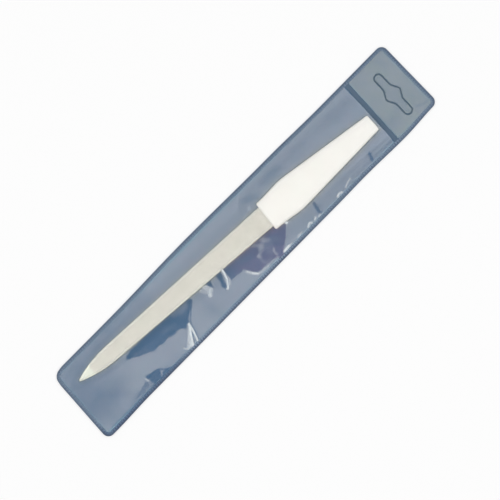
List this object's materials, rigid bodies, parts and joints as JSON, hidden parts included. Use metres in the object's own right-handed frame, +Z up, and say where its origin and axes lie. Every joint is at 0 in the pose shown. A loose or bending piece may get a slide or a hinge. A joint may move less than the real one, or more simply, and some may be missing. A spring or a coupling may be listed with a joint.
{
  "type": "nail file in a hang sleeve",
  "caption": "Metal nail file with a coated tapering blade and a white plastic handle, sliding out of a flat vinyl sleeve with a welded hang tab.",
  "frame": {"origin": "centre of the sleeve's underside, at the middle of its length and width", "axes": "+X along the sleeve towards the hang tab, +Z up out of the clear front film, +Y to the left seen from the tip end"},
  "size_m": [0.2156, 0.038, 0.0071],
  "materials": {
    "steel": "ground bevels and a bare bright tip",
    "abrasive": "fine cream-grey grit held in a thin coat",
    "handle_plastic": "glossy moulded white",
    "blue_vinyl": "smooth soft film, deep blue",
    "clear_vinyl": "smooth soft clear film, slightly hazy",
    "welded_vinyl": "fused film, pressed and knurled, dark blue"
  },
  "bodies": {
    "sleeve": {"back_film": "blue_vinyl", "pocket_front_film": "clear_vinyl", "tab_front_film": "clear_vinyl", "edge_weld": "welded_vinyl", "cross_weld": "welded_vinyl", "slot_weld": "welded_vinyl", "slot_plug_front": "clear_vinyl", "slot_plug_back": "blue_vinyl"},
    "file": {"blade": "steel", "front_grit": "abrasive", "back_grit": "abrasive", "handle": "handle_plastic"}
  },
  "joints": [
    {"name": "file_slide", "type": "slide", "parent": "sleeve", "child": "file", "axis": [0.9974, -0.0706, 0.0156], "range_m": [0, 0.18]}
  ]
}
